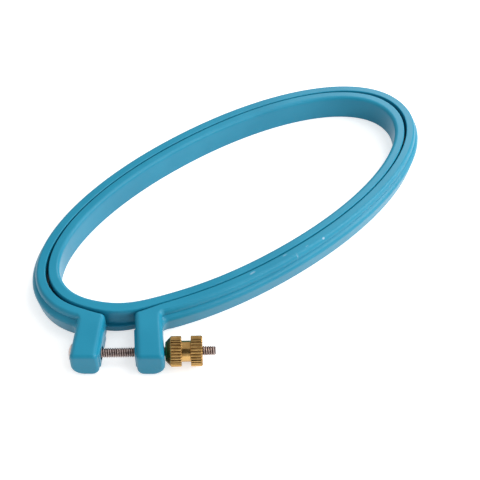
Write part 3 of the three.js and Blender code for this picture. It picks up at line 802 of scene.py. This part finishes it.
class Wire:  # an output socket; using it in an expression adds a Math node
    def __init__(self, finish, socket):
        self.finish = finish
        self.socket = socket

    def math(self, operation, *values):
        return self.finish.add("ShaderNodeMath", {"operation": operation}, dict(enumerate(values)))

    def __add__(self, other):
        return self.math("ADD", self, other)

    def __radd__(self, other):
        return self.math("ADD", other, self)

    def __sub__(self, other):
        return self.math("SUBTRACT", self, other)

    def __rsub__(self, other):
        return self.math("SUBTRACT", other, self)

    def __mul__(self, other):
        return self.math("MULTIPLY", self, other)

    def __rmul__(self, other):
        return self.math("MULTIPLY", other, self)

    def size(self):
        return self.math("ABSOLUTE", self)

    def larger(self, other):
        return self.math("MAXIMUM", self, other)

    def between(self, low, high):
        # 0 below low, 1 above high and eased between them
        settings = {"interpolation_type": "SMOOTHSTEP"}
        values = {"Value": self, "From Min": low, "From Max": high}
        return self.finish.add("ShaderNodeMapRange", settings, values)


class Finish:  # a material and its nodes
    def __init__(self, name):
        self.material = bpy.data.materials.new(name)
        self.material.use_nodes = True
        self.tree = self.material.node_tree
        self.shader = self.tree.nodes["Principled BSDF"]
        self.place = self.add("ShaderNodeTexCoord", {}, {}, "Object")

    def add(self, kind, settings=None, values=None, output=0):
        # a node of a kind: its settings first, then the values or links of its sockets
        node = self.tree.nodes.new(kind)
        for key, value in (settings or {}).items():
            setattr(node, key, value)
        for key, value in (values or {}).items():
            self.feed(node.inputs[key], value)
        return Wire(self, node.outputs[output])

    def feed(self, socket, value):
        if isinstance(value, Wire):
            self.tree.links.new(value.socket, socket)
        else:
            socket.default_value = value

    def noise(self, scale, detail=2.0, place=None):
        values = {"Vector": place or self.place, "Scale": scale, "Detail": detail}
        return self.add("ShaderNodeTexNoise", {}, values)

    def pattern(self, look):
        # noise eased from 0 to 1 between two of its values
        return self.noise(look["scale"], look["detail"]).between(*look["range"])

    def stretched(self, scale):
        return self.add("ShaderNodeMapping", {}, {"Vector": self.place, "Scale": scale})

    def spot(self, x, y, halfLength, halfWidth, core=0.45):
        # 1 in the core of an ellipse in plan and 0 past its edge; sizes in metres
        flat = self.add("ShaderNodeMapping", {"vector_type": "TEXTURE"}, {
            "Vector": self.place, "Location": (x, y, 0.0), "Scale": (halfLength, halfWidth, flatten),
        })
        away = self.add("ShaderNodeVectorMath", {"operation": "LENGTH"}, {0: flat}, "Value")
        return 1 - away.between(core, 1.0)

    def mix(self, factor, first, second):
        # the mix node's colour sockets are its inputs 6 and 7 and its output 2
        return self.add("ShaderNodeMix", {"data_type": "RGBA"}, {0: factor, 6: first, 7: second}, 2)

    def bump(self, height, distance):
        return self.add("ShaderNodeBump", {}, {"Height": height, "Distance": distance, "Strength": 1.0})

    def set(self, **values):
        # the shader's sockets by name, with _ for a space
        for key, value in values.items():
            self.feed(self.shader.inputs[key.replace("_", " ")], value)


# Noise scales are per metre. A pattern goes from 0 to 1 between the two noise values of its range
plastic = {
    "colour": linearColour(26, 136, 167),
    "lighter": linearColour(34, 142, 173),
    "deeper": linearColour(20, 129, 160),
    "scratch": linearColour(120, 185, 205),
    "scuff": linearColour(205, 222, 240),
    "cloud": {"scale": 38, "detail": 3, "range": (0.35, 0.65)},  # deeper and lighter patches
    "evenness": 0.45,  # how far the patches are drawn back to the plain colour
    "worn": {"scale": 70, "detail": 4, "range": (0.58, 0.72)},  # where the hair scratches show
    "ragged": {"scale": 900, "detail": 3, "range": (0.25, 0.5)},  # breaks up the rubbed marks
    "hairScale": 210,
    "hairStretch": (1.0, 3.2, 9.0),
    "hairWidth": 0.006,
    "scratchShow": 0.3,
    "roughness": 0.33,
    "wornRougher": 0.05,
    "scratchRougher": 0.2,
    "refraction": 1.46,
    "gloss": 0.34,
    "grainScale": 2600,
    "grainHeight": 0.6,
    "swellScale": 160,
    "swellHeight": 1.4,
    "bumpDistance": 0.000010,  # metres
}

# Rubbed marks on the outer ring's bead, near side: millimetres from the oval's middle, their
# half sizes along and across the ring, and how strong they are
scuffMarks = (
    {"place": (-20.0, -35.4), "half": (1.6, 0.5), "strength": 0.3},
    {"place": (-5.6, -35.9), "half": (1.3, 0.4), "strength": 0.2},
    {"place": (-1.7, -38.1), "half": (0.45, 0.8), "strength": 0.45},
    {"place": (3.6, -37.4), "half": (0.8, 0.4), "strength": 0.2},
    {"place": (11.0, -37.9), "half": (0.7, 0.4), "strength": 0.5},
)


def plasticFinish(name, look, marks=()):
    # clouded colour, hair scratches where noise crosses its middle value, and the rubbed marks
    finish = Finish(name)
    tone = finish.mix(finish.pattern(look["cloud"]), look["deeper"], look["lighter"])
    base = finish.mix(look["evenness"], tone, look["colour"])
    grain = finish.noise(look["grainScale"])
    swell = finish.noise(look["swellScale"])
    worn = finish.pattern(look["worn"])
    streaks = finish.noise(look["hairScale"], place=finish.stretched(look["hairStretch"]))
    hair = 1 - (streaks - 0.5).size().between(0.0, look["hairWidth"])
    scratched = hair * worn
    base = finish.mix(scratched * look["scratchShow"], base, look["scratch"])
    ragged = finish.pattern(look["ragged"])
    for mark in marks:
        x, y = (ringCentre + np.array(mark["place"])) * metresPerMm
        halfLength, halfWidth = (half * metresPerMm for half in mark["half"])
        rubbed = finish.spot(x, y, halfLength, halfWidth) * ragged * mark["strength"]
        base = finish.mix(rubbed, base, look["scuff"])
        scratched = scratched.larger(rubbed)
    rougher = worn * look["wornRougher"] + scratched * look["scratchRougher"]
    finish.set(Base_Color=base, Roughness=look["roughness"] + rougher)
    finish.shader.inputs["IOR"].default_value = look["refraction"]
    finish.shader.inputs["Specular IOR Level"].default_value = look["gloss"]
    relief = grain * look["grainHeight"] + swell * look["swellHeight"]
    finish.set(Normal=finish.bump(relief, look["bumpDistance"]))
    return finish.material


brass = {
    "colour": linearColour(208, 168, 106),
    "darker": linearColour(188, 146, 84),
    # painted shade: the nut is coloured darker in its knurl's hollows, and on its cone and flat faces that
    # lie in the band set below
    "paintedHollowShade": linearColour(120, 84, 38),
    "hollowFrom": (0.00480, 0.00515),  # metres from the screw's axis: painted shade below, plain above
    "hollowAbove": 0.00385,  # nearer the axis than this the metal is plain again
    "roughness": 0.2,
    "lineDistance": 0.000004,  # metres
}
steel = {
    "colour": linearColour(206, 190, 184),
    "darker": linearColour(176, 160, 156),
    # painted shade: the screw is coloured darker in the thread's valleys, and where its tip lies near the
    # axis
    "paintedHollowShade": linearColour(104, 88, 84),
    "hollowFrom": (0.00136, 0.00160),
    "hollowAbove": 0.0,
    "roughness": 0.3,
    "lineDistance": 0.000005,
}
tarnish = {"scale": 420, "detail": 3, "range": (0.3, 0.7), "rougher": 0.06}
hollows = {"edge": 0.0001, "rougher": 0.15}  # edge: metres over which the painted shade starts at hollowAbove
turningLines = {"scale": 5200, "stretch": (1.0, 0.02, 0.02)}  # long round the axis, fine along it


def metalFinish(name, look):
    # soft clouds of tarnish, painted shade in the hollows of thread and knurl and on other faces in a band
    # round the screw's axis, found by their distance from that axis, and fine turning lines round that axis
    finish = Finish(name)
    screwTurn = np.arctan2(alongScrew[1], alongScrew[0])
    turnedLines = finish.add("ShaderNodeMapping", {}, {
        "Vector": finish.place,
        "Rotation": (0.0, 0.0, -screwTurn),
        "Scale": turningLines["stretch"],
    })
    acrossAxis = finish.add("ShaderNodeMapping", {"vector_type": "TEXTURE"}, {
        "Vector": finish.place,
        "Location": (*(screwOrigin * metresPerMm), screwHeight * metresPerMm),
        "Rotation": (0.0, 0.0, screwTurn),
        "Scale": (flatten, 1.0, 1.0),
    })
    away = finish.add("ShaderNodeVectorMath", {"operation": "LENGTH"}, {0: acrossAxis}, "Value")
    past = away.between(look["hollowAbove"] - hollows["edge"], look["hollowAbove"])
    # the painted shade's mask: 1 from hollowAbove out to hollowFrom, eased to 0 past it
    paintedHollowShade = (1 - away.between(*look["hollowFrom"])) * past
    cloud = finish.pattern(tarnish)
    metal = finish.mix(cloud, look["darker"], look["colour"])
    # the metal is mixed towards the painted shade colour by that mask
    finish.set(Base_Color=finish.mix(paintedHollowShade, metal, look["paintedHollowShade"]))
    finish.set(Roughness=look["roughness"] + cloud * tarnish["rougher"] + paintedHollowShade * hollows["rougher"])
    finish.shader.inputs["Metallic"].default_value = 1.0
    lines = finish.noise(turningLines["scale"], place=turnedLines)
    finish.set(Normal=finish.bump(lines, look["lineDistance"]))
    return finish.material


innerPlastic = plasticFinish("turquoisePlasticInner", plastic)
outerPlastic = plasticFinish("turquoisePlasticOuter", plastic, scuffMarks)
brassFinish = metalFinish("turnedBrass", brass)
steelFinish = metalFinish("platedSteel", steel)

dressed = (
    (innerRingPiece, innerPlastic, "inner_plastic"),
    (leftArm, outerPlastic, "outer_plastic"),
    (rightArm, outerPlastic, "outer_plastic"),
    (bridge, outerPlastic, "outer_plastic"),
    (screwPiece, steelFinish, "screw_steel"),
    (nutPiece, brassFinish, "nut_brass"),
)
for piece, material, slotName in dressed:
    piece.data.materials.clear()
    piece.data.materials.append(material)
print("materials made")


# What each piece moves with

chord = np.append(alongScrew, 0.0)
alongChord = bridgeGrid @ chord
bridgeStart, bridgeEnd = alongChord[0].max(), alongChord[-1].min()
stretchStart = bridgeStart + outerRing["stretchFrom"] * (bridgeEnd - bridgeStart)
Vector(chord * stretchStart * metresPerMm)
Vector(chord * bridgeEnd * metresPerMm)
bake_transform(bridge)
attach(innerRingPiece, "inner")
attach(leftArm, "outer_left")
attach(rightArm, "outer_right")
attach(screwPiece, "outer_left")
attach(nutPiece, "nut")
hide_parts("inner_ring")
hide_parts("outer_ring_left")
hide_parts("outer_ring_right")
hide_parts("outer_ring_left", "outer_ring_right")
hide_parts("clamp_screw")
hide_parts("thumb_nut")


# Camera, floor and light

cameraSet = {
    "azimuth": 38.358,  # degrees
    "elevation": 49.307,
    "roll": -1.149,
    "distance": 418.8,
    "target": np.array([-8.29, -13.035]),  # from the oval's middle
    "lens": 83.01,  # for the sensor's width and the photo's square frame
    "sensor": 36,
}


def makeCamera(size):
    # it stands back from the target against its line of sight
    azimuth, elevation, roll = (radians(size[key]) for key in ("azimuth", "elevation", "roll"))
    forward = np.array([sin(azimuth) * cos(elevation), cos(azimuth) * cos(elevation), -sin(elevation)])
    right = np.cross(forward, [0, 0, 1])
    right /= np.linalg.norm(right)
    up = np.cross(right, forward)
    rolledRight = cos(roll) * right - sin(roll) * up
    rolledUp = sin(roll) * right + cos(roll) * up
    target = np.append(ringCentre + size["target"], 0.0)
    place = (target - forward * size["distance"]) * metresPerMm
    data = bpy.data.cameras.new("photoCamera")
    data.lens = size["lens"]
    data.sensor_width = size["sensor"]
    camera = bpy.data.objects.new("photoCamera", data)
    columns = np.column_stack([rolledRight, rolledUp, -forward, place])
    camera.matrix_world = Matrix(np.vstack([columns, [0, 0, 0, 1]]).tolist())
    bpy.context.scene.collection.objects.link(camera)
    bpy.context.scene.camera = camera


paleFloor = {
    "half": 6.0,  # metres
    "colour": linearColour(232, 232, 232),
    "glow": 0.55,
}


def backdropFactor(finish):
    # 1 for what the camera, a gloss or a clear body sees
    camera, glossy, clear = (finish.add("ShaderNodeLightPath", {}, {}, kind)
                             for kind in ("Is Camera Ray", "Is Glossy Ray", "Is Transmission Ray"))
    return camera.larger(glossy).larger(clear)


def plainFinish(name, colour):
    # dull all over, with no gloss
    finish = Finish(name)
    finish.set(Base_Color=colour, Roughness=1.0)
    finish.shader.inputs["Specular IOR Level"].default_value = 0.0
    return finish


def makeFloor(size):
    half = size["half"]
    mesh = bpy.data.meshes.new("floor")
    corners = [(-half, -half, 0), (half, -half, 0), (half, half, 0), (-half, half, 0)]
    mesh.from_pydata(corners, [], [(0, 1, 2, 3)])
    floor = bpy.data.objects.new("floor", mesh)
    bpy.context.scene.collection.objects.link(floor)
    finish = plainFinish("paleFloor", size["colour"])
    finish.set(Emission_Color=(1, 1, 1, 1))
    finish.set(Emission_Strength=backdropFactor(finish) * size["glow"])
    mesh.materials.append(finish.material)


darkCard = {
    "middle": np.array([-0.223, -0.281, 0.417]),  # metres, on the camera's side and facing the hoop
    "half": (0.16, 0.24),
    "colour": linearColour(84, 84, 84),
}


def makeDarkCard(size):
    # a studio's black card: gloss and metal mirror it, and nothing else sees it
    outwards = size["middle"] / np.linalg.norm(size["middle"])
    right = np.cross([0, 0, 1], outwards)
    right /= np.linalg.norm(right)
    up = np.cross(outwards, right)
    halfWide, halfTall = size["half"]
    corners = [size["middle"] + right * halfWide * x + up * halfTall * y
               for x, y in ((-1, -1), (1, -1), (1, 1), (-1, 1))]
    mesh = bpy.data.meshes.new("darkCard")
    mesh.from_pydata(np.array(corners).tolist(), [], [(0, 1, 2, 3)])
    card = bpy.data.objects.new("darkCard", mesh)
    bpy.context.scene.collection.objects.link(card)
    mesh.materials.append(plainFinish("blackCard", size["colour"]).material)
    card.visible_camera = card.visible_diffuse = card.visible_shadow = False
    card.visible_transmission = card.visible_volume_scatter = False


# Soft boxes that face the hoop: metres and watts
softBoxes = (
    {"name": "key", "place": (0.8, -0.55, 0.5), "size": (0.6, 0.6), "power": 6},
    {"name": "overhead", "place": (0.38, -0.12, 0.88), "size": (0.4, 0.4), "power": 1.7},
    {"name": "front", "place": (0.3, -0.95, 0.5), "size": (0.6, 0.4), "power": 3.2},
    {"name": "window", "place": (0.72, 0.46, 0.65), "size": (0.35, 0.35), "power": 2.4},
)
roomLight = 0.58  # strength of the white world


def makeSoftBox(box):
    data = bpy.data.lights.new(box["name"], "AREA")
    data.shape = "RECTANGLE"
    data.size, data.size_y = box["size"]
    data.energy = box["power"]
    light = bpy.data.objects.new(box["name"], data)
    place = Vector(box["place"])
    facing = (-place).to_track_quat("-Z", "Y").to_matrix().to_4x4()
    light.matrix_world = Matrix.Translation(place) @ facing
    bpy.context.scene.collection.objects.link(light)


def makeWorld(strength):
    world = bpy.data.worlds.new("softRoom")
    bpy.context.scene.world = world
    world.use_nodes = True
    background = world.node_tree.nodes["Background"]
    background.inputs["Color"].default_value = (1, 1, 1, 1)
    background.inputs["Strength"].default_value = strength


makeCamera(cameraSet)
makeFloor(paleFloor)
makeDarkCard(darkCard)
for box in softBoxes:
    makeSoftBox(box)
makeWorld(roomLight)
bpy.context.scene.view_settings.view_transform = "Standard"
print("camera, floor and light set")
